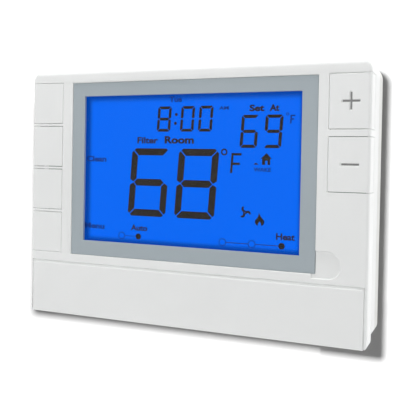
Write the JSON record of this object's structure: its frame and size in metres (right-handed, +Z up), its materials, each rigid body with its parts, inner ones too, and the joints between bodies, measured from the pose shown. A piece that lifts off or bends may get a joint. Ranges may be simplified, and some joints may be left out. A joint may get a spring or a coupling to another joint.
{
  "type": "wall thermostat",
  "caption": "Wall thermostat: white case on a screw-on wall plate, framed blue display, side keys, plus and minus keys, flip-down battery door.",
  "frame": {"origin": "on the wall, at the middle of the wall plate's back face, level with the middle of the case's height", "axes": "+X to the right seen from the front, +Y into the wall, so the front looks along -Y, +Z up"},
  "size_m": [0.14, 0.027, 0.1008],
  "materials": {
    "white_shell": "satin moulded ABS",
    "off_white_plastic": "matte moulded ABS",
    "grey_bezel": "printed, low sheen",
    "clear_lens": "clear acrylic",
    "blue_display": "lit from behind",
    "backlight": "clear light guide",
    "black_rubber": "matte",
    "circuit_board": "solder mask",
    "black_plastic": "matte",
    "relay_plastic": "satin",
    "capacitor_sleeve": "shrink sleeve",
    "terminal_plastic": "matte",
    "cell_jacket": "printed jacket",
    "plated_steel": "bright plated"
  },
  "bodies": {
    "base": {"wall_plate": "off_white_plastic", "terminal_block_left": "terminal_plastic", "terminal_block_right": "terminal_plastic", "terminal_screw_left_1": "plated_steel", "terminal_screw_left_2": "plated_steel", "terminal_screw_left_3": "plated_steel", "terminal_screw_left_4": "plated_steel", "terminal_screw_right_1": "plated_steel", "terminal_screw_right_2": "plated_steel", "terminal_screw_right_3": "plated_steel", "terminal_screw_right_4": "plated_steel"},
    "case": {"front_housing": "white_shell", "rear_cover": "white_shell", "lcd_holder": "off_white_plastic", "battery_tray": "off_white_plastic", "screen_bezel": "grey_bezel", "display_lens": "clear_lens", "lcd_panel": "blue_display", "backlight_panel": "backlight", "zebra_strip": "black_rubber", "main_board": "circuit_board", "microcontroller": "black_plastic", "thermistor": "black_plastic", "pin_header_left": "black_plastic", "pin_header_right": "black_plastic", "switch_left_1": "black_plastic", "switch_left_2": "black_plastic", "switch_left_3": "black_plastic", "switch_left_4": "black_plastic", "switch_plus": "black_plastic", "switch_minus": "black_plastic", "relay_1": "relay_plastic", "relay_2": "relay_plastic", "relay_3": "relay_plastic", "capacitor": "capacitor_sleeve", "battery_left": "cell_jacket", "battery_right": "cell_jacket", "battery_contact_left": "plated_steel", "battery_contact_middle": "plated_steel", "battery_spring_middle": "plated_steel", "battery_spring_right": "plated_steel", "crystal": "plated_steel", "case_screw_1": "plated_steel", "case_screw_2": "plated_steel", "case_screw_3": "plated_steel", "case_screw_4": "plated_steel"},
    "press_left_1": {"key_left_1": "white_shell", "plunger_left_1": "off_white_plastic"},
    "press_left_2": {"key_left_2": "white_shell", "plunger_left_2": "off_white_plastic"},
    "press_left_3": {"key_left_3": "white_shell", "plunger_left_3": "off_white_plastic"},
    "press_left_4": {"key_left_4": "white_shell", "plunger_left_4": "off_white_plastic"},
    "press_plus": {"key_plus": "white_shell", "plunger_plus": "off_white_plastic"},
    "press_minus": {"key_minus": "white_shell", "plunger_minus": "off_white_plastic"},
    "door": {"battery_door": "white_shell"}
  },
  "joints": [
    {"name": "case_pull", "type": "slide", "parent": "base", "child": "case", "axis": [0, -1, 0], "range_m": [0, 0.03]},
    {"name": "key_left_1_press", "type": "slide", "parent": "case", "child": "press_left_1", "axis": [0, 1, 0], "range_m": [0, 0.0005], "stiffness_N_per_m": 2000},
    {"name": "key_left_2_press", "type": "slide", "parent": "case", "child": "press_left_2", "axis": [0, 1, 0], "range_m": [0, 0.0005], "stiffness_N_per_m": 2000},
    {"name": "key_left_3_press", "type": "slide", "parent": "case", "child": "press_left_3", "axis": [0, 1, 0], "range_m": [0, 0.0005], "stiffness_N_per_m": 2000},
    {"name": "key_left_4_press", "type": "slide", "parent": "case", "child": "press_left_4", "axis": [0, 1, 0], "range_m": [0, 0.0005], "stiffness_N_per_m": 2000},
    {"name": "key_plus_press", "type": "slide", "parent": "case", "child": "press_plus", "axis": [0, 1, 0], "range_m": [0, 0.0005], "stiffness_N_per_m": 2000},
    {"name": "key_minus_press", "type": "slide", "parent": "case", "child": "press_minus", "axis": [0, 1, 0], "range_m": [0, 0.0005], "stiffness_N_per_m": 2000},
    {"name": "door_flip", "type": "hinge", "parent": "case", "child": "door", "pos_m": [0, -0.0225, -0.0475], "axis": [1, 0, 0], "range_deg": [0, 95]}
  ]
}
